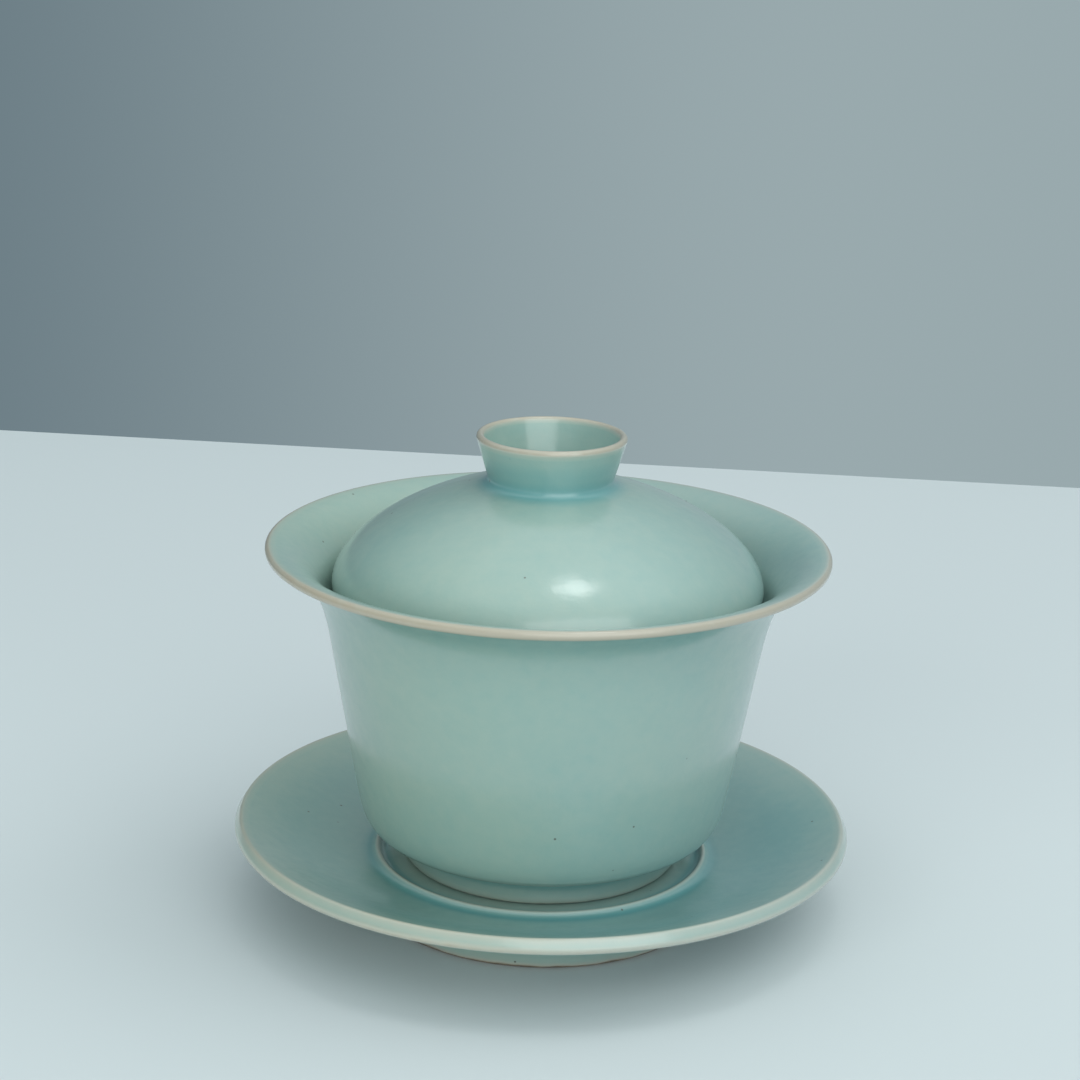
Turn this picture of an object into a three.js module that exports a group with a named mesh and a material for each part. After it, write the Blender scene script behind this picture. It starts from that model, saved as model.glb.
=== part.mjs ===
// A gaiwan: a lidded tea bowl that stands in the well of its saucer.
// Three thrown and turned stoneware pieces, with nothing fastening them together.
// Millimetres, +Z up. The origin is the centre of the saucer's foot, on the table.

import * as THREE from 'three';

// ---- Driving dimensions ----

// Facets round the axis of every piece, and along the curves of its outline
const SEGMENTS = 64;
const LONG_STEPS = 8;
const STEPS = 6;
const SHORT_STEPS = 4;

// Foot rings
const FOOT_CHAMFER = 0.4; // both edges of the face that a foot ring stands on
const RECESS_TAPER = 0.8; // how much narrower the hollow under a foot is at its top
const FOOT_FILLET_R = 0.8; // the corner between a foot ring and the body above it
const FOOT_FILLET_Z = 0.6;

// Saucer
const SAUCER_RIM_R = 55.0; // centre of the rounded rim
const SAUCER_RIM_Z = 15.7;
const SAUCER_EDGE = 1.4; // radius of the rounded rim
const SAUCER_RIM_SLOPE = 22; // degrees above level, where the plate meets the rim
const SAUCER_FOOT_R = 31.0; // outside of the foot ring on the table
const SAUCER_FOOT_TOP_R = 31.8;
const SAUCER_FOOT_WALL = 2.8;
const SAUCER_RECESS = 5.4; // height of the hollow under the foot
const PLATE_UNDER_Z = 6.3; // underside of the plate beside the foot
const PLATE_UNDER_SLOPE = 8;
const PLATE_UNDER_PULLS = [8, 9];
const GROOVE_R = 32.4; // shallow groove round the outside of the ridge
const GROOVE_Z = 9.75;
const GROOVE_SLOPE = 6;
const PLATE_PULLS = [8, 8];
const RIDGE_R = 30.2; // ridge that keeps the bowl in the middle
const RIDGE_Z = 10.75;
const RIDGE_HALF = 0.45; // half of the ridge's width at its crown
const RIDGE_CHAMFER = 0.35;
const WELL_R = 28.9; // edge of the flat floor of the well
const WELL_Z = 9.5;
const WELL_CHAMFER_R = 0.6;
const WELL_CHAMFER_Z = 0.25;

// Bowl
const BOWL_RIM_R = 50.0; // centre of the rounded lip
const BOWL_RIM_Z = 68.0;
const BOWL_EDGE = 0.85; // radius of the rounded lip
const LIP_SLOPE = 8; // degrees above level, at the lip
const BOWL_SEAT_Z = 9.65; // underside of the foot ring, just clear of the well
const BOWL_FOOT_R = 25.2;
const BOWL_FOOT_TOP_R = 25.9;
const BOWL_FOOT_WALL = 2.6;
const BOWL_RECESS = 3.8; // height of the hollow under the foot
const UNDERSIDE_Z = 14.7; // lowest part of the body outside the foot
const UNDERSIDE_SLOPE = 5;
const SHOULDER_PULLS = [6, 7];
const WALL_LOW = [34.5, 25.5]; // radius and height where the straight wall starts
const WALL_HIGH = [39.17, 51.5]; // and where it starts to flare
const WALL_THICK = 2.4;
const FLARE_PULLS = [9.5, 6.5];
const BOWL_FLOOR_R = 16; // where the floor starts to turn up into the wall
const BOWL_FLOOR_Z = 17.8;
const BOWL_FLOOR_SLOPE = 4;
const BOWL_FLOOR_DIP = 0.3; // how much lower the middle of the floor is
const INNER_SHOULDER_PULLS = [5, 12];

// Lid
const LID_R = 38.9; // widest, where the dome stands upright
const LID_WIDEST_Z = 61.3;
const DOME_R = 13.9; // where the dome meets the fillet under the knob
const DOME_Z = 79.5;
const DOME_SLOPE = -14; // degrees above level, going outwards from the fillet
const DOME_PULLS = [8, 11];
const LID_WALL = 2.6;
const HOLLOW_TOP_Z = 77.7;
const HOLLOW_PULLS = [17, 9];
const LID_EDGE = 0.95; // radius of the rounded bottom edge
const LID_EDGE_R = 37.45; // centre of the rounded bottom edge
const LID_EDGE_Z = 58.15;
const KNOB_BASE_R = 11.4;
const KNOB_BASE_Z = 81.4;
const FILLET_PULLS = [1.7, 1.4];
const KNOB_RIM_R = 12.75; // centre of the rounded rim of the knob's cup
const KNOB_RIM_Z = 88.5;
const KNOB_EDGE = 0.7;
const KNOB_FLOOR_Z = 80.4;
const KNOB_CORNER_R = 0.9; // the corner between the cup's wall and its floor
const KNOB_CORNER_Z = 0.1;

// ---- Outline helpers: x is the radius and y is the height ----

const point = (radius, height) => new THREE.Vector2(radius, height);

// The slope of the straight line between two points, in degrees above level.
const slopeOf = (from, to) => THREE.MathUtils.radToDeg(to.clone().sub(from).angle());

// A point at a distance from another, in a direction given in degrees above level.
function along(from, degrees, distance) {
  const angle = THREE.MathUtils.degToRad(degrees);
  return point(from.x + distance * Math.cos(angle), from.y + distance * Math.sin(angle));
}

// A smooth stretch that leaves its start and reaches its end at given slopes in degrees.
// The pulls say for how many millimetres it keeps close to each slope.
function sweep(start, startSlope, end, endSlope, pulls, steps) {
  const first = along(start, startSlope, pulls[0]);
  const second = along(end, endSlope, -pulls[1]);
  return new THREE.CubicBezierCurve(start, first, second, end).getPoints(steps);
}

// A rounded edge: a stretch of a circle between two angles in degrees.
function arc(centre, radius, from, to, steps) {
  const start = THREE.MathUtils.degToRad(from);
  const end = THREE.MathUtils.degToRad(to);
  const curve = new THREE.EllipseCurve(centre.x, centre.y, radius, radius, start, end, false);
  return curve.getPoints(steps);
}

// Joins stretches into one outline, and drops the points that repeat where they meet.
function outline(...stretches) {
  const points = stretches.flat();
  return points.filter((p, i) => i === 0 || p.distanceTo(points[i - 1]) > 1e-4);
}

// A foot ring with a hollow under it, from the axis to just below the corner with the body.
function footRing(radius, topRadius, wall, seatZ, recess, bodyZ) {
  const inner = radius - wall;
  return [
    point(0, seatZ + recess),
    point(inner - RECESS_TAPER, seatZ + recess),
    point(inner, seatZ + FOOT_CHAMFER),
    point(inner + FOOT_CHAMFER, seatZ),
    point(radius - FOOT_CHAMFER, seatZ),
    point(radius, seatZ + FOOT_CHAMFER),
    point(topRadius, bodyZ - FOOT_FILLET_Z),
  ];
}

// Turns an outline, from the axis underneath to the axis on top, about +Z.
function turned(name, points, colour, roughness) {
  const geometry = new THREE.LatheGeometry(points, SEGMENTS);
  geometry.rotateX(Math.PI / 2);
  const material = new THREE.MeshStandardMaterial({ color: colour, roughness, metalness: 0 });
  const mesh = new THREE.Mesh(geometry, material);
  mesh.name = name;
  return mesh;
}

// ---- Saucer: a footed plate with a well that the bowl stands in ----

function saucer() {
  const rim = point(SAUCER_RIM_R, SAUCER_RIM_Z);
  const outwards = SAUCER_RIM_SLOPE;
  const rimUnder = along(rim, outwards - 90, SAUCER_EDGE);
  const rimTop = along(rim, outwards + 90, SAUCER_EDGE);
  const foot = footRing(
    SAUCER_FOOT_R, SAUCER_FOOT_TOP_R, SAUCER_FOOT_WALL, 0, SAUCER_RECESS, PLATE_UNDER_Z,
  );
  const underStart = point(SAUCER_FOOT_TOP_R + FOOT_FILLET_R, PLATE_UNDER_Z);
  const underside = sweep(underStart, PLATE_UNDER_SLOPE, rimUnder, outwards, PLATE_UNDER_PULLS, STEPS);
  const edge = arc(rim, SAUCER_EDGE, outwards - 90, outwards + 90, STEPS);
  const groove = point(GROOVE_R, GROOVE_Z);
  const plate = sweep(rimTop, outwards + 180, groove, GROOVE_SLOPE + 180, PLATE_PULLS, STEPS);
  const ridge = [
    point(RIDGE_R + RIDGE_HALF + RIDGE_CHAMFER, RIDGE_Z - RIDGE_CHAMFER),
    point(RIDGE_R + RIDGE_HALF, RIDGE_Z),
    point(RIDGE_R - RIDGE_HALF, RIDGE_Z),
  ];
  const well = [
    point(WELL_R, WELL_Z + WELL_CHAMFER_Z),
    point(WELL_R - WELL_CHAMFER_R, WELL_Z),
    point(0, WELL_Z),
  ];
  return turned('saucer', outline(foot, underside, edge, plate, ridge, well), 0x6f9088, 0.3);
}

// ---- Bowl: a footed cup with an upright wall and a flared lip ----

function bowl() {
  const rim = point(BOWL_RIM_R, BOWL_RIM_Z);
  const rimUnder = along(rim, LIP_SLOPE - 90, BOWL_EDGE);
  const rimTop = along(rim, LIP_SLOPE + 90, BOWL_EDGE);
  const wallLow = point(...WALL_LOW);
  const wallHigh = point(...WALL_HIGH);
  const upwards = slopeOf(wallLow, wallHigh);
  const innerLow = along(wallLow, upwards + 90, WALL_THICK);
  const innerHigh = along(wallHigh, upwards + 90, WALL_THICK);
  const foot = footRing(
    BOWL_FOOT_R, BOWL_FOOT_TOP_R, BOWL_FOOT_WALL, BOWL_SEAT_Z, BOWL_RECESS, UNDERSIDE_Z,
  );
  const underStart = point(BOWL_FOOT_TOP_R + FOOT_FILLET_R, UNDERSIDE_Z);
  const shoulder = sweep(underStart, UNDERSIDE_SLOPE, wallLow, upwards, SHOULDER_PULLS, STEPS);
  const flare = sweep(wallHigh, upwards, rimUnder, LIP_SLOPE, FLARE_PULLS, STEPS);
  const lip = arc(rim, BOWL_EDGE, LIP_SLOPE - 90, LIP_SLOPE + 90, SHORT_STEPS);
  const innerPulls = FLARE_PULLS.toReversed();
  const innerFlare = sweep(rimTop, LIP_SLOPE + 180, innerHigh, upwards + 180, innerPulls, STEPS);
  const floorEdge = point(BOWL_FLOOR_R, BOWL_FLOOR_Z);
  const level = BOWL_FLOOR_SLOPE + 180;
  const innerShoulder = sweep(innerLow, upwards + 180, floorEdge, level, INNER_SHOULDER_PULLS, STEPS);
  const floor = [point(0, BOWL_FLOOR_Z - BOWL_FLOOR_DIP)];
  const stretches = [foot, shoulder, flare, lip, innerFlare, innerShoulder, floor];
  return turned('bowl', outline(...stretches), 0x94b2aa, 0.3);
}

// ---- Lid: a dome that drops inside the lip, with a cup-shaped knob to hold it by ----

function lid() {
  const widest = point(LID_R, LID_WIDEST_Z);
  const domeTop = point(DOME_R, DOME_Z);
  const inside = point(LID_R - LID_WALL, LID_WIDEST_Z);
  const knobRim = point(KNOB_RIM_R, KNOB_RIM_Z);
  const knobBase = point(KNOB_BASE_R, KNOB_BASE_Z);
  const upwards = slopeOf(knobBase, knobRim);
  const inwards = DOME_SLOPE + 180;
  const hollow = sweep(point(0, HOLLOW_TOP_Z), 0, inside, -90, HOLLOW_PULLS, LONG_STEPS);
  const edge = arc(point(LID_EDGE_R, LID_EDGE_Z), LID_EDGE, -180, 0, STEPS);
  const dome = sweep(widest, 90, domeTop, inwards, DOME_PULLS, LONG_STEPS);
  const fillet = sweep(domeTop, inwards, knobBase, upwards, FILLET_PULLS, SHORT_STEPS);
  const knobEdge = arc(knobRim, KNOB_EDGE, upwards - 90, upwards + 90, SHORT_STEPS);
  const cupWall = along(knobBase, upwards + 90, KNOB_EDGE * 2);
  const cup = [
    cupWall,
    point(cupWall.x - KNOB_CORNER_R, KNOB_FLOOR_Z + KNOB_CORNER_Z),
    point(0, KNOB_FLOOR_Z),
  ];
  return turned('lid', outline(hollow, edge, dome, fillet, knobEdge, cup), 0xa0c3be, 0.28);
}

const gaiwan = new THREE.Group();
gaiwan.add(saucer(), bowl(), lid());

export default gaiwan;
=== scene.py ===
# %% [markdown]
# # A celadon gaiwan, from frame to glaze
#
# A gaiwan is a lidded tea bowl on a saucer. It is three pieces of turned stoneware under one
# sky-green glaze, and nothing fastens them together. Every shape in it comes from turning an
# outline about the upright axis, so this lesson is mostly about two things: drawing three
# honest outlines, and making a glaze that behaves like one. A glaze runs thin over sharp
# edges, where the clay shows through warm and pale, and gathers in the corners, where it
# turns deep blue-green.
#
# The design comes first, as a fixed frame, and everything here is built around it.

# %% Load the frame
import math

import bmesh
import bpy
import numpy as np
from mathutils import Matrix, Vector, noise


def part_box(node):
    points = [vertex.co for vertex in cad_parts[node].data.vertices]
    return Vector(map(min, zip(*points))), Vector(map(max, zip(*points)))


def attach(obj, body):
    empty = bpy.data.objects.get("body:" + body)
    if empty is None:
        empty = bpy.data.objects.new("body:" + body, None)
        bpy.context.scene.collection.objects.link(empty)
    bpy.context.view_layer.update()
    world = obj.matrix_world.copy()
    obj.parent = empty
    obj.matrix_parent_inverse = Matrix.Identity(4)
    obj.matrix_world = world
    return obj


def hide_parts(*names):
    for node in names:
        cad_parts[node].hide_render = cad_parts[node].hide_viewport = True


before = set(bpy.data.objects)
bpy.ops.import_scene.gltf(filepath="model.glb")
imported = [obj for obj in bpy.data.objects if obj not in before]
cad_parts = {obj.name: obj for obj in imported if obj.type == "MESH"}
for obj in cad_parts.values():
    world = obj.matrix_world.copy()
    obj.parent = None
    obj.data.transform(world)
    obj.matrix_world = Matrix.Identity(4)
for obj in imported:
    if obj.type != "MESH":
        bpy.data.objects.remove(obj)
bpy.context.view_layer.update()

# %% [markdown]
# ## Measures
#
# The frame says where each piece starts and ends. The outlines below are drawn in
# millimetres, because that is how a potter thinks, and they take their reach and height
# from the frame, so that the fine pieces and the plain ones can't drift apart.

# %% Reach and height of each piece
MM = 0.001


def reach_and_heights(node):
    low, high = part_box(node)
    return high[0] / MM, low[2] / MM, high[2] / MM


saucer_reach, table_z, saucer_top = reach_and_heights("saucer")
bowl_reach, bowl_seat, bowl_top = reach_and_heights("bowl")
lid_reach, lid_seat, lid_top = reach_and_heights("lid")
print("saucer", saucer_reach, saucer_top)
print("bowl", bowl_reach, bowl_seat, bowl_top)
print("lid", lid_reach, lid_seat, lid_top)

# %% [markdown]
# ## Drawing an outline
#
# An outline is a list of points, radius and height, that runs from the axis underneath to
# the axis on top. A potter's rib leaves smooth sweeps, so the long stretches are Bezier
# curves that leave and arrive at a given slope, and hold it for as long as their pull. Rims
# are round, so they are arcs. Both could be drawn as curve objects and converted, but a few
# lines of arithmetic keep the slopes in plain degrees.

# %% Sweeps and arcs


def along(start, degrees, distance):
    angle = math.radians(degrees)
    return (start[0] + distance * math.cos(angle), start[1] + distance * math.sin(angle))


def sweep(start, start_slope, start_pull, end, end_slope, end_pull, steps=60):
    first = along(start, start_slope, start_pull)
    second = along(end, end_slope, -end_pull)
    corners = np.array([start, first, second, end])
    t = np.linspace(0, 1, steps + 1)[:, None]
    weights = np.hstack([(1 - t) ** 3, 3 * t * (1 - t) ** 2, 3 * t * t * (1 - t), t ** 3])
    return weights @ corners


def arc(centre, radius, start, end, steps=24):
    angles = np.radians(np.linspace(start, end, steps + 1))
    return np.column_stack([centre[0] + radius * np.cos(angles), centre[1] + radius * np.sin(angles)])


def slope_of(start, end):
    return math.degrees(math.atan2(end[1] - start[1], end[0] - start[0]))


# %% [markdown]
# A corner in clay is never sharp: a wet sponge rounds it, and then the glaze rounds it
# again. So a polyline's corners are cut back and bridged by a small curve, like a fillet.

# %% Rounded corners
SPONGED = 0.3  # millimetres cut back from a corner, on both its sides


def rounded(corners):
    """The same run of points, with a small curve in place of every inner corner."""
    corners = [np.array(corner, float) for corner in corners]
    stretches = [corners[0][None]]
    for before, corner, after in zip(corners, corners[1:], corners[2:]):
        back, on = before - corner, after - corner
        cut = min(SPONGED, np.linalg.norm(back) / 2, np.linalg.norm(on) / 2)
        start = corner + back / np.linalg.norm(back) * cut
        end = corner + on / np.linalg.norm(on) * cut
        t = np.linspace(0, 1, 9)[:, None]
        stretches.append((1 - t) ** 2 * start + 2 * t * (1 - t) * corner + t * t * end)
    stretches.append(corners[-1][None])
    return np.vstack(stretches)


# %% [markdown]
# ## How thick the glaze lies
#
# The whole look of celadon hangs on this. The pot is dipped, and in the kiln the glaze melts
# and its surface tension pulls it off sharp edges and into hollows. So its thickness can be
# read off the outline: how much the outline turns outwards or inwards around each point,
# averaged over a millimetre or two. Painting the edges by hand would work too, but this
# puts the warm line on every edge and the blue pool in every corner by itself.

# %% Walk along an outline and measure how it bends
FINE = 0.05  # millimetres between the points that the bend is measured on


def walk(points):
    """The outline's points without the ones that repeat, and the distance along it at each."""
    steps = np.linalg.norm(np.diff(points, axis=0), axis=1)
    points = points[np.concatenate([[True], steps > 1e-6])]
    steps = np.linalg.norm(np.diff(points, axis=0), axis=1)
    return points, np.concatenate([[0], np.cumsum(steps)])


def blur(values, width):
    """A running average with a bell-shaped weight, width in millimetres."""
    half = int(4 * width / FINE)
    bell = np.exp(-0.5 * (np.arange(-half, half + 1) * FINE / width) ** 2)
    padded = np.pad(values, half, mode="edge")
    return np.convolve(padded, bell / bell.sum(), mode="valid")


def bend(points):
    """Fine distances, points and radians of turn in a millimetre: above 0 where the piece juts out."""
    points, distance = walk(points)
    fine = np.arange(0, distance[-1], FINE)
    path = np.column_stack([np.interp(fine, distance, points[:, axis]) for axis in (0, 1)])
    heading = np.unwrap(np.arctan2(*np.gradient(path, axis=0).T[::-1]))
    return fine, path, np.gradient(heading, FINE)


# %% [markdown]
# The points of the mesh close up where the outline bends, and stand apart where it runs
# straight. That keeps a rim round without spending points on the wall. Where the glaze ends
# on a foot or an edge the points stand closest, so that the end is a clean line.

# %% From a drawn outline to mesh points with a glaze thickness
BLUNT = 0.3  # radians of turn in a millimetre, which a coat of glaze still covers evenly
THIN_OVER_EDGES = 1.6
DEEP_IN_HOLLOWS = 1.6
SPREAD = 0.7  # millimetres over which the glaze evens out
THINNEST, DEEPEST = 0.05, 2.0
STRAIGHT_SPACING = 1.1  # millimetres between mesh points on a straight stretch
NOTICED = 0.15  # millimetres over which a bend is measured for the spacing
PER_RADIAN = 2.4  # how many more points a bend gets
MOST_BEND = 1.6  # radians in a millimetre, past which a bend gets no more points
AT_A_LINE = 4.0  # points in a millimetre where the glaze ends


def glazed_outline(points, line_box):
    """Mesh points of an outline, with the glaze's thickness at each, 1 being the usual coat."""
    fine, path, turn = bend(points)
    pull = blur(turn, SPREAD)
    thickness = 1 - THIN_OVER_EDGES * np.maximum(pull - BLUNT, 0) + DEEP_IN_HOLLOWS * np.maximum(-pull, 0)
    thickness = np.clip(thickness, THINNEST, DEEPEST)
    density = 1 / STRAIGHT_SPACING + PER_RADIAN * np.minimum(np.abs(blur(turn, NOTICED)), MOST_BEND)
    low, high = line_box
    at_line = np.all((path > low) & (path < high), axis=1)
    density = np.where(at_line, AT_A_LINE, density)
    passed = np.concatenate([[0], np.cumsum(density[1:] * FINE)])
    where = np.interp(np.linspace(0, passed[-1], int(passed[-1]) + 1), passed, fine)
    chosen = [np.interp(where, fine, column) for column in (path[:, 0], path[:, 1], thickness)]
    chosen[0][0] = chosen[0][-1] = 0.0
    return np.column_stack(chosen)


# %% [markdown]
# ## Turning the outline
#
# On the wheel the clay turns past the rib. Here the outline turns past the axis: bmesh's
# spin sweeps a chain of edges round in steps, and merges the last ring into the first. The
# thickness rides along in a vertex layer, because spin copies the layers of what it sweeps.
# The first and last points lie on the axis, so their copies pile up and are merged into one
# pole each. Spin can leave the shell inside out, so the normals are recalculated last.

# %% Spin an outline into a closed shell
AROUND = 256


def turned(name, outline):
    mesh = bmesh.new()
    glaze = mesh.verts.layers.float.new("glaze")
    chain = [mesh.verts.new((radius * MM, 0, height * MM)) for radius, height, _ in outline]
    for vert, (_, _, thickness) in zip(chain, outline):
        vert[glaze] = thickness
    edges = [mesh.edges.new(pair) for pair in zip(chain, chain[1:])]
    bmesh.ops.spin(mesh, geom=chain + edges, cent=(0, 0, 0), axis=(0, 0, 1), angle=math.tau,
                   steps=AROUND, use_merge=True)
    poles = [vert for vert in mesh.verts if math.hypot(vert.co.x, vert.co.y) < 1e-7]
    bmesh.ops.remove_doubles(mesh, verts=poles, dist=1e-6)
    bmesh.ops.dissolve_degenerate(mesh, edges=mesh.edges, dist=1e-8)
    bmesh.ops.recalc_face_normals(mesh, faces=mesh.faces)
    for face in mesh.faces:
        face.smooth = True
    print(name, len(outline), "points in the outline,", len(mesh.faces), "faces")
    return mesh


# %% [markdown]
# ## The foot's bare clay
#
# Glaze is glass, so a pot that stood on it would stick to the kiln shelf. The potter wipes it
# off the foot, and the bare clay there burns brown. The glaze ends in a small step a fifth of
# a millimetre high, and the line wanders a little, because it melted. The step is drawn in
# the outline. The wander is a gentle push up and down, done after turning.

# %% Mark the bare clay, and let the glaze thin out just above it
LINE_WIDTH = 0.1  # millimetres over which glaze turns to clay
LAST_COAT = 0.3  # the glaze's thickness where it ends, against the usual coat


def mark_bare(mesh, line, halo):
    """Bare clay below line, and glaze that thickens over halo above it, both in millimetres."""
    glaze = mesh.verts.layers.float["glaze"]
    bare = mesh.verts.layers.float.new("bare")
    for vert in mesh.verts:
        above = vert.co.z / MM - line
        vert[bare] = min(max(0.5 - above / LINE_WIDTH, 0.0), 1.0)
        if 0 <= above < halo:
            vert[glaze] *= LAST_COAT + (1 - LAST_COAT) * above / halo


# %% Let the glaze's end wander
WANDER = 0.3  # millimetres, up or down
WANDER_BAND = 0.7  # millimetres above and below the line that go with it
WANDER_WAVES = 260  # per metre


def wander(mesh, line, seat):
    """Pushes the glaze's end up and down around the foot, and leaves the resting face where it is."""
    for vert in mesh.verts:
        z = vert.co.z / MM
        near = math.exp(-((z - line) / WANDER_BAND) ** 2) * min(max((z - seat) / 0.6, 0.0), 1.0)
        if near > 0.01:
            round_the_foot = Vector((vert.co.x, vert.co.y, line * MM)) * WANDER_WAVES
            vert.co.z += WANDER * MM * near * noise.noise(round_the_foot)


# %% [markdown]
# ## A hand-made wobble
#
# A perfect revolve gives itself away in its reflections. Real pots sag and twist by a tenth
# of a millimetre or two as they dry. One smooth noise field moves all three pieces together,
# so that the small gaps between them stay as they were designed. Its rise and fall fade out
# towards the table, so that the foot stays flat.

# %% Warp every piece by the same field
WOBBLE = 0.16  # millimetres
WAVES = 17  # per metre
LEVEL_BELOW = 12  # millimetres above the table where the rise and fall reach their full size
WOBBLE_SEED = 3
noise.seed_set(WOBBLE_SEED)  # without a seed, noise_vector is different every time the script runs


def wobble(mesh):
    for vert in mesh.verts:
        push = noise.noise_vector(vert.co * WAVES)
        rise = min(vert.co.z / MM / LEVEL_BELOW, 1.0)
        vert.co += Vector((push.x, push.y, push.z * rise)) * WOBBLE * MM


# %% [markdown]
# ## The object
#
# The finished mesh stands for its plain solid and rides on the same body. Its object stays
# at the origin, with its place in its mesh.

# %% Make the object and tie it to the frame


def finish_piece(name, mesh, node, body):
    data = bpy.data.meshes.new(name)
    mesh.to_mesh(data)
    mesh.free()
    piece = bpy.data.objects.new(name, data)
    bpy.context.scene.collection.objects.link(piece)
    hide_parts(node)
    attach(piece, body)
    return piece


# %% [markdown]
# ## The saucer
#
# A footed plate. From the axis underneath, the outline crosses the hollow of the foot, goes
# round the foot ring, sweeps out under the plate, and turns round a thick rim. The rim's
# lower corner is blunt and its upper one crisp, so the glaze leaves a warm line along the
# top. Then it sweeps back down to a shallow groove, and climbs a narrow ridge before it
# drops to the floor of the well. The ridge keeps the bowl in the middle. Its crown is under
# a millimetre wide, so the glaze nearly leaves it, and the groove beside it fills with colour.

# %% Draw the saucer's foot and underside
RIM_SLOPE = 22  # degrees that the plate climbs at its rim
HALF_RIM = 1.4  # half the rim's thickness, in millimetres
rim_middle = (saucer_reach - HALF_RIM, saucer_top - HALF_RIM)
saucer_line = table_z + 0.55
foot_root = (31.7, 5.1)  # where the foot ring meets the plate
saucer_foot = rounded([
    (0, 5.4), (27.4, 5.4), (28.15, 0.75), (28.35, 0.45), (28.65, 0), (30.6, 0),
    (30.9, 0.4), (31.08, 0.7), foot_root])
plate_start = (33.2, 6.4)
foot_cove = sweep(foot_root, 81, 0.7, plate_start, 8, 0.9, 20)
rim_underside = along(rim_middle, RIM_SLOPE - 90, HALF_RIM)
under_plate = sweep(plate_start, 8, 7.6, rim_underside, RIM_SLOPE, 9)

# %% Draw its rim and plate
BLUNT_CORNER = 1.0
CRISP_CORNER = 0.5
lower_corner = along(along(rim_middle, RIM_SLOPE - 90, HALF_RIM - BLUNT_CORNER), RIM_SLOPE, 0.3)
upper_corner = along(along(rim_middle, RIM_SLOPE + 90, HALF_RIM - CRISP_CORNER), RIM_SLOPE, 0.55)
saucer_rim = np.vstack([
    arc(lower_corner, BLUNT_CORNER, RIM_SLOPE - 90, RIM_SLOPE),
    arc(upper_corner, CRISP_CORNER, RIM_SLOPE + 10, RIM_SLOPE + 90)])
groove = (32.4, 9.75)
plate = sweep(along(rim_middle, RIM_SLOPE + 90, HALF_RIM), RIM_SLOPE + 180, 8, groove, 186, 8)

# %% Draw the ridge and the well
RIDGE_CROWN = 0.45
WELL_FLOOR = 9.5
ridge = (30.2, 10.3)
ridge_outside = sweep(groove, 184, 0.9, along(ridge, 20, RIDGE_CROWN), 110, 0.3, 20)
ridge_crown = arc(ridge, RIDGE_CROWN, 20, 160, 16)
ridge_inside = sweep(along(ridge, 160, RIDGE_CROWN), 250, 0.3, (28.4, WELL_FLOOR), 180, 0.7, 20)
saucer_outline = glazed_outline(
    np.vstack([saucer_foot, foot_cove, under_plate, saucer_rim, plate, ridge_outside,
               ridge_crown, ridge_inside, [(0, WELL_FLOOR)]]),
    line_box=((27.5, 0.25), (31.5, 1.0)))

# %% [markdown]
# The glaze is made a little thicker in the plate than the outline's bends alone would say, so
# the plate reads darker: painted shade of the bowl above it. It fades out before the rim.

# %% Thicken the glaze in the plate as painted shade of the bowl, and turn the saucer
PLATE_PAINTED_SHADE = 0.3  # how much thicker the glaze lies inside the plate
PLATE_EDGE = 4  # millimetres of the rim that it leaves alone
PLATE_FADE = 8  # millimetres over which it comes in
radius, height, _ = saucer_outline.T
painted_shade_inside_rim = np.clip((saucer_reach - PLATE_EDGE - radius) / PLATE_FADE, 0, 1)
# painted shade: thicker, darker glaze inside the rim stands in for the bowl's shade on the plate
saucer_outline[:, 2] += PLATE_PAINTED_SHADE * painted_shade_inside_rim * (height > WELL_FLOOR)
saucer_mesh = turned("saucer", saucer_outline)
mark_bare(saucer_mesh, saucer_line, 1.1)
wander(saucer_mesh, saucer_line, table_z)
wobble(saucer_mesh)
saucer = finish_piece("glazed_saucer", saucer_mesh, "saucer", "saucer")

# %% [markdown]
# ## The bowl
#
# The wall is almost straight and leans out by about ten degrees. Low down it rounds sharply
# into the underside, and at the top it flares until the lip is nearly level, which keeps
# fingers off the hot wall. The inside follows the outside at the wall's thickness. Only the
# very bottom of its foot is bare.

# %% Draw the bowl's outside
HALF_LIP = 0.85  # half the lip's thickness, in millimetres
LIP_SLOPE = 8
WALL = 2.4
lip = (bowl_reach - HALF_LIP, bowl_top - HALF_LIP)
bowl_line = bowl_seat + 0.02
wall_low = (34.5, 25.5)
wall_high = (39.17, 51.5)
wall_slope = slope_of(wall_low, wall_high)
bowl_root = (25.75, 13.3)  # where the foot ring meets the bowl
bowl_foot = rounded([
    (0, 13.45), (21.8, 13.45), (22.55, 10.3), (22.75, 10.0), (23.05, bowl_seat),
    (24.75, bowl_seat), (25.0, 9.95), (25.22, 10.25), bowl_root])
belly_start = (27.3, 14.75)
bowl_cove = sweep(bowl_root, 80, 0.8, belly_start, 5, 0.9, 20)
belly = sweep(belly_start, 5, 5.6, wall_low, wall_slope, 7)
flare = sweep(wall_high, wall_slope, 9.5, along(lip, LIP_SLOPE - 90, HALF_LIP), LIP_SLOPE, 6.5)

# %% Draw its lip and inside
lip_edge = arc(lip, HALF_LIP, LIP_SLOPE - 90, LIP_SLOPE + 90)
inner_high = along(wall_high, wall_slope + 90, WALL)
inner_low = along(wall_low, wall_slope + 90, WALL)
lip_top = along(lip, LIP_SLOPE + 90, HALF_LIP)
inner_flare = sweep(lip_top, LIP_SLOPE + 180, 6.5, inner_high, wall_slope + 180, 9.5)
floor_edge = (16, 17.8)
inner_belly = sweep(inner_low, wall_slope + 180, 5, floor_edge, 184, 12)
bowl_floor = sweep(floor_edge, 184, 4, (0, 17.5), 180, 6)
bowl_outline = glazed_outline(
    np.vstack([bowl_foot, bowl_cove, belly, flare, lip_edge, inner_flare, inner_belly, bowl_floor]),
    line_box=((22, 9.6), (25.6, 10.2)))
bowl_mesh = turned("bowl", bowl_outline)
mark_bare(bowl_mesh, bowl_line, 0.1)
wander(bowl_mesh, bowl_line, bowl_seat)
wobble(bowl_mesh)
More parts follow.
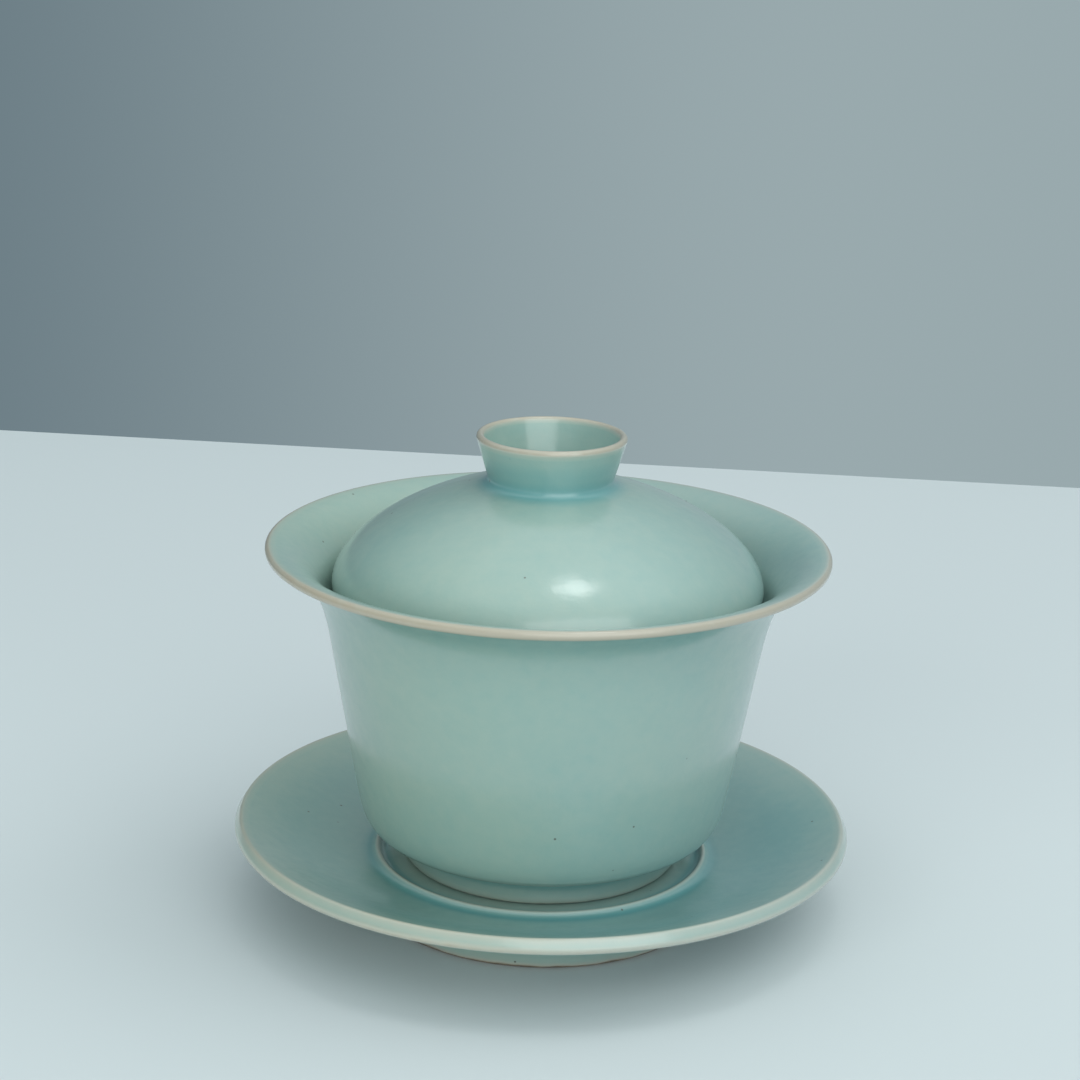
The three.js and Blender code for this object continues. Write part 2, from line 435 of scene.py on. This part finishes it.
bowl = finish_piece("glazed_bowl", bowl_mesh, "bowl", "bowl")

# %% [markdown]
# ## The lid
#
# A dome that drops inside the lip, so that its edge rests on the inside of the flare. The
# knob is a little cup: it stays cool, it gives the fingers a rim to hold, and turned over it
# is a foot for the lid to stand on. The knob was stuck on with slip, so a soft fillet joins it
# to the dome, and the glaze pools there deeper than anywhere else. The lid's edge was wiped
# clean, because it was fired standing on it.

# %% Draw the dome
HALF_EDGE = 0.95  # half the thickness of the lid's edge, in millimetres
LID_WALL = 2.6
WIDEST_HEIGHT = 61.3
widest = (lid_reach, WIDEST_HEIGHT)
dome_top = (13.9, 79.5)
lid_line = lid_seat + 0.4
hollow = sweep((0, 77.7), 0, 17, (lid_reach - LID_WALL, WIDEST_HEIGHT), -90, 9)
lid_edge = arc((37.45, lid_seat + HALF_EDGE), HALF_EDGE, -180, 0)
dome = sweep(widest, 90, 8, dome_top, 166, 11)

# %% Draw the knob
HALF_KNOB_RIM = 0.7  # half the thickness of the knob's rim, in millimetres
knob_rim = (12.75, lid_top - HALF_KNOB_RIM)
knob_base = (11.4, 81.6)
knob_slope = slope_of(knob_base, knob_rim)
fillet = sweep(dome_top, 166, 1.7, knob_base, knob_slope, 1.3, 30)
knob_edge = arc(knob_rim, HALF_KNOB_RIM, knob_slope - 90, knob_slope + 90)
cup_side = along(knob_base, knob_slope + 90, 2 * HALF_KNOB_RIM)
cup_bottom = (8.6, 80.5)
cup_corner = sweep(cup_side, knob_slope + 180, 0.9, cup_bottom, 180, 0.9, 20)
cup_floor = sweep(cup_bottom, 180, 3, (0, 80.3), 180, 3, 20)
lid_outline = glazed_outline(
    np.vstack([hollow, lid_edge, dome, fillet, knob_edge, cup_corner, cup_floor]),
    line_box=((36, lid_line - 0.4), (39, lid_line + 0.4)))

# %% [markdown]
# The glaze is made thicker round the knob's outside, so that it reads darker there. This is
# painted shade, for the little light that reaches the knob's overhanging wall.

# %% Thicken the glaze round the knob as painted shade, and turn the lid
KNOB_PAINTED_SHADE = 0.45  # how much thicker the glaze lies
KNOB_SHADE_HEIGHT = 83.5
KNOB_SHADE_SPREAD = 2.2  # millimetres above and below, over which it fades
outside_knob = lid_outline[:, 0] > knob_base[0]
fade = np.exp(-((lid_outline[:, 1] - KNOB_SHADE_HEIGHT) / KNOB_SHADE_SPREAD) ** 2)
# painted shade: thicker, darker glaze on the knob's outside stands in for the shade on its overhanging wall
lid_outline[:, 2] += KNOB_PAINTED_SHADE * fade * outside_knob
lid_mesh = turned("lid", lid_outline)
mark_bare(lid_mesh, lid_line, 1.1)
wobble(lid_mesh)
lid = finish_piece("glazed_lid", lid_mesh, "lid", "lid")

# %% [markdown]
# ## The glaze
#
# Celadon is a clear grey-blue glass over pale clay, full of bubbles too small to see, so it
# looks milky. One material does for all three pieces, because one bucket of glaze did. The
# thickness layer drives a colour ramp: warm clay showing through, then the pale coat, then
# the deep pool. Noise at two sizes keeps it from looking printed: clouds a few centimetres
# wide, and mottling of a couple of millimetres.

# %% Helpers that add a node and join it up
RGBA_FACTOR, RGBA_A, RGBA_B, RGBA_RESULT = 0, 6, 7, 2  # where a Mix node keeps its colour sockets


def add(tree, kind, links=(), **values):
    """links is a list of (input, output socket), and values are settings or unlinked inputs by name."""
    made = tree.nodes.new(kind)
    for key, value in values.items():
        if hasattr(made, key):
            setattr(made, key, value)
        else:
            made.inputs[key.replace("_", " ").title()].default_value = value
    for socket, source in links:
        tree.links.new(source, made.inputs[socket])
    return made


def feed(tree, socket, value):
    """Links an output socket to the socket, or sets the socket to a plain value."""
    if isinstance(value, (int, float, tuple)):
        socket.default_value = value
    else:
        tree.links.new(value, socket)


def arithmetic(tree, operation, first, second):
    made = add(tree, "ShaderNodeMath", operation=operation)
    feed(tree, made.inputs[0], first)
    feed(tree, made.inputs[1], second)
    return made.outputs[0]


def blend_colours(tree, factor, first, second, how="MIX"):
    made = add(tree, "ShaderNodeMix", data_type="RGBA", blend_type=how)
    for index, value in ((RGBA_FACTOR, factor), (RGBA_A, first), (RGBA_B, second)):
        feed(tree, made.inputs[index], value)
    return made.outputs[RGBA_RESULT]


def stretch(tree, value, low, high, how="LINEAR"):
    """Spreads low..high over 0..1, and holds what is outside."""
    made = add(tree, "ShaderNodeMapRange", [("Value", value)], interpolation_type=how)
    made.inputs["From Min"].default_value = low
    made.inputs["From Max"].default_value = high
    return made.outputs["Result"]


def linear(red, green, blue):
    """A colour as a screen shows it, 0 to 255, as the shader wants it."""
    def one(value):
        value /= 255
        return value / 12.92 if value <= 0.04045 else ((value + 0.055) / 1.055) ** 2.4
    return (one(red), one(green), one(blue), 1.0)


# %% Start the glaze's material
glaze_material = bpy.data.materials.new("celadon_glaze_on_stoneware")
glaze_material.use_nodes = True
tree = glaze_material.node_tree
surface = tree.nodes["Principled BSDF"]
place = tree.nodes.new("ShaderNodeTexCoord").outputs["Object"]
thickness = add(tree, "ShaderNodeAttribute", attribute_name="glaze").outputs["Fac"]
bare = add(tree, "ShaderNodeAttribute", attribute_name="bare").outputs["Fac"]


def grain_of(size_mm, detail):
    """Noise whose features are about size_mm across."""
    grain = add(tree, "ShaderNodeTexNoise", [("Vector", place)], scale=1 / (size_mm * MM), detail=detail)
    return grain.outputs["Fac"]


# %% Colour by thickness
CLOUDINESS = 0.16
MOTTLE = 0.12
USUAL_COAT = 0.5  # where the usual coat lies on the ramp
clouds = arithmetic(tree, "SUBTRACT", grain_of(26, 3), 0.5)
mottling = grain_of(2.4, 4)
cloud_shift = arithmetic(tree, "MULTIPLY", clouds, CLOUDINESS)
mottle_shift = arithmetic(tree, "MULTIPLY", arithmetic(tree, "SUBTRACT", mottling, 0.5), MOTTLE)
uneven = arithmetic(tree, "ADD", cloud_shift, mottle_shift)
depth = arithmetic(tree, "ADD", arithmetic(tree, "MULTIPLY", thickness, USUAL_COAT), uneven)
ramp = add(tree, "ShaderNodeValToRGB", [("Fac", depth)])
COAT = [
    (0.03, linear(171, 162, 145)),
    (0.12, linear(175, 176, 163)),
    (0.28, linear(158, 172, 162)),
    (0.46, linear(147, 171, 162)),
    (0.62, linear(126, 163, 158)),
    (0.90, linear(98, 152, 152)),
]
while len(ramp.color_ramp.elements) < len(COAT):
    ramp.color_ramp.elements.new(0.5)
for element, (position, colour) in zip(ramp.color_ramp.elements, COAT):
    element.position = position
    element.color = colour
print("the glaze's ramp has", len(COAT), "colours, from bare edge to deep pool")

# %% [markdown]
# Where the fire had a little more air the green turns olive, and where it had less it turns
# blue. One side of a kiln is never quite like the other, so the colour drifts across each
# piece from olive to blue, and a wide noise bends the drift.

# %% Lean towards olive or blue
DRIFT = 0.055  # metres, from the olive side to the blue side
OLIVE = (1.02, 1.0, 0.94, 1)
BLUE = (0.97, 1.0, 1.04, 1)
across = add(tree, "ShaderNodeSeparateXYZ", [("Vector", place)]).outputs["X"]
drift = arithmetic(tree, "DIVIDE", across, DRIFT)
bent = arithmetic(tree, "ADD", drift, arithmetic(tree, "MULTIPLY", grain_of(45, 2), 2))
tint = blend_colours(tree, stretch(tree, bent, 0.1, 1.9), OLIVE, BLUE)
glaze_colour = blend_colours(tree, 1.0, ramp.outputs["Color"], tint, "MULTIPLY")

# %% [markdown]
# Specks of iron in the clay bleed through as tiny dark dots, a few on each piece. A Voronoi
# texture scatters one point in every cell. Most are thrown away by a random number, and the
# rest make dots up to half a millimetre across, wherever the surface happens to cut one.

# %% Iron specks
SPECK_CELL = 3.4  # millimetres
THROWN_AWAY = 0.78
SPECK_STRENGTH = 0.75
IRON = linear(62, 52, 38)
scatter = add(tree, "ShaderNodeTexVoronoi", [("Vector", place)], scale=1 / (SPECK_CELL * MM))
kept = arithmetic(tree, "GREATER_THAN", scatter.outputs["Color"], THROWN_AWAY)
away = stretch(tree, scatter.outputs["Distance"], 0.05, 0.085)
speck = arithmetic(tree, "MULTIPLY", arithmetic(tree, "SUBTRACT", 1.0, away), kept)
speckled = blend_colours(tree, arithmetic(tree, "MULTIPLY", speck, SPECK_STRENGTH), glaze_colour, IRON)

# %% [markdown]
# The bare clay is coarser and matt. It burnt brown in the last of the firing, here darker
# and there paler, in grains of a millimetre or two.

# %% Bare clay
clay_shade = stretch(tree, grain_of(1.6, 5), 0.3, 0.7)
clay_colour = blend_colours(tree, clay_shade, linear(90, 79, 62), linear(134, 118, 95))
tree.links.new(blend_colours(tree, bare, speckled, clay_colour), surface.inputs["Base Color"])

# %% [markdown]
# The glaze is satin: fine crystals blur what it mirrors, and a faint orange peel breaks up
# the edges of the highlights. Bumps carry both. Under the smooth outer skin, which is the
# shader's coat, roughness varies a little with the mottling and is highest on bare clay.

# %% Gloss
SATIN = 0.34
SATIN_MOTTLE = 0.12
CLAY_ROUGHNESS = 0.85
satin = arithmetic(tree, "ADD", SATIN, arithmetic(tree, "MULTIPLY", mottling, SATIN_MOTTLE))
under_glaze = arithmetic(tree, "MULTIPLY", satin, arithmetic(tree, "SUBTRACT", 1.0, bare))
on_clay = arithmetic(tree, "MULTIPLY", bare, CLAY_ROUGHNESS)
tree.links.new(arithmetic(tree, "ADD", under_glaze, on_clay), surface.inputs["Roughness"])
surface.inputs["IOR"].default_value = 1.5
surface.inputs["Coat Weight"].default_value = 1.0
surface.inputs["Coat Roughness"].default_value = 0.18
surface.inputs["Coat IOR"].default_value = 1.75

# %% Relief
peel = add(tree, "ShaderNodeBump", [("Height", grain_of(1.5, 2))], strength=0.12, distance=0.0003)
crystals = add(tree, "ShaderNodeBump", [("Height", grain_of(0.5, 2)), ("Normal", peel.outputs["Normal"])],
               strength=0.06, distance=0.0001)
for socket in ("Normal", "Coat Normal"):
    tree.links.new(crystals.outputs["Normal"], surface.inputs[socket])
for piece in (saucer, bowl, lid):
    piece.data.materials.append(glaze_material)
    print(piece.name, "wears", piece.data.materials[0].name)

# %% [markdown]
# ## The table
#
# A plain pale table top whose straight back edge shows behind the piece. It is turned a few
# degrees, as a table seldom lines up with the eye.

# %% The table
TABLE_WIDTH = 2.6
TABLE_DEPTH = 2.0
BEHIND = 0.3205  # from the middle of the piece to the table's back edge
TABLE_TURN = -5.6  # degrees
cloth = bpy.data.materials.new("pale_cloth")
cloth.use_nodes = True
cloth_shader = cloth.node_tree.nodes["Principled BSDF"]
cloth_shader.inputs["Base Color"].default_value = linear(206, 212, 214)
cloth_shader.inputs["Roughness"].default_value = 0.9
table_mesh = bmesh.new()
bmesh.ops.create_grid(table_mesh, x_segments=1, y_segments=1, size=0.5)
bmesh.ops.scale(table_mesh, vec=(TABLE_WIDTH, TABLE_DEPTH, 1), verts=table_mesh.verts)
bmesh.ops.translate(table_mesh, vec=(0, BEHIND - TABLE_DEPTH / 2, 0), verts=table_mesh.verts)
table_turn = Matrix.Rotation(math.radians(TABLE_TURN), 3, "Z")
bmesh.ops.rotate(table_mesh, cent=(0, 0, 0), matrix=table_turn, verts=table_mesh.verts)
table_data = bpy.data.meshes.new("table")
table_mesh.to_mesh(table_data)
table_mesh.free()
table = bpy.data.objects.new("table", table_data)
bpy.context.scene.collection.objects.link(table)
table.data.materials.append(cloth)

# %% [markdown]
# ## The light
#
# The light is soft. A small box almost straight above makes the compact highlight on the
# dome, a wide one over it is the ceiling, and a wide one low in front shows faintly in the
# dome and along the rims. Two more only fill: they brighten the wall and soften the shadow,
# and are kept out of reflections, so that the glaze mirrors a calm room.

# %% The lights
LIGHT_COLOUR = (0.97, 1, 0.985)
MIDDLE = Vector((0, 0, 0.05))


def soft_box(name, direction, distance, size, power):
    """A square area light, size across in metres and power in watts, that faces the middle of the piece."""
    data = bpy.data.lights.new(name, "AREA")
    data.shape = "SQUARE"
    data.size = size
    data.energy = power
    data.color = LIGHT_COLOUR
    light = bpy.data.objects.new(name, data)
    towards = Vector(direction).normalized()
    light.location = MIDDLE + towards * distance
    light.rotation_euler = towards.to_track_quat("Z", "Y").to_euler()
    bpy.context.scene.collection.objects.link(light)
    return light


def from_the_front(azimuth, elevation):
    """A direction, in degrees to the right of the camera's side and above the table."""
    turn, rise = math.radians(azimuth), math.radians(elevation)
    return (math.sin(turn) * math.cos(rise), -math.cos(turn) * math.cos(rise), math.sin(rise))


soft_box("overhead", from_the_front(63, 80), 1.1, 0.22, 0.72)
soft_box("ceiling", from_the_front(55, 84), 1.2, 1.5, 1.6)
soft_box("front_right", from_the_front(20, 26), 1.3, 1.25, 6.8)
for fill in (soft_box("front_left", from_the_front(-28, 17), 1.3, 0.8, 6.0),
             soft_box("right_fill", from_the_front(95, 50), 1.3, 1.0, 3.6)):
    fill.visible_glossy = False

# %% [markdown]
# The room is a plain grey-blue, darker on the left and lighter overhead. Seen behind the
# table it is the backdrop, and everywhere else it fills the shadows.

# %% The room
DARK_SIDE = (0.135, 0.19, 0.22, 1)
LIGHT_SIDE = (0.32, 0.40, 0.42, 1)
CEILING = (0.70, 0.80, 0.82, 1)
world = bpy.data.worlds.new("room")
world.use_nodes = True
room = world.node_tree
towards = add(room, "ShaderNodeTexCoord").outputs["Generated"]
heading = add(room, "ShaderNodeSeparateXYZ", [("Vector", towards)])
to_the_right = stretch(room, heading.outputs["X"], -0.30, 0.12, "SMOOTHSTEP")
upwards = stretch(room, heading.outputs["Z"], 0.35, 0.95, "SMOOTHSTEP")
walls = blend_colours(room, to_the_right, DARK_SIDE, LIGHT_SIDE)
room.links.new(blend_colours(room, upwards, walls, CEILING), room.nodes["Background"].inputs["Color"])
bpy.context.scene.world = world
bpy.context.scene.view_settings.view_transform = "Standard"
print("lights:", [light.name for light in bpy.data.lights])

# %% [markdown]
# ## The camera
#
# A short telephoto lens half a metre away, looking down by about sixteen degrees, so that
# the ellipses stay calm and the inside of the knob shows.

# %% Place the camera
CAMERA_DISTANCE = 0.448
CAMERA_HEIGHT = 0.2017
AIM = Vector((-0.0016, 0, 0.0694))
LEAN = 1.6  # degrees, clockwise
SENSOR = 36
LENS = 86.7
camera_data = bpy.data.cameras.new("camera")
camera_data.sensor_width = SENSOR
camera_data.lens = LENS
camera = bpy.data.objects.new("camera", camera_data)
camera.location = (0, -CAMERA_DISTANCE, CAMERA_HEIGHT)
looking = (AIM - camera.location).to_track_quat("-Z", "Y")
camera.rotation_euler = (looking.to_matrix() @ Matrix.Rotation(math.radians(LEAN), 3, "Z")).to_euler()
bpy.context.scene.collection.objects.link(camera)
bpy.context.scene.camera = camera
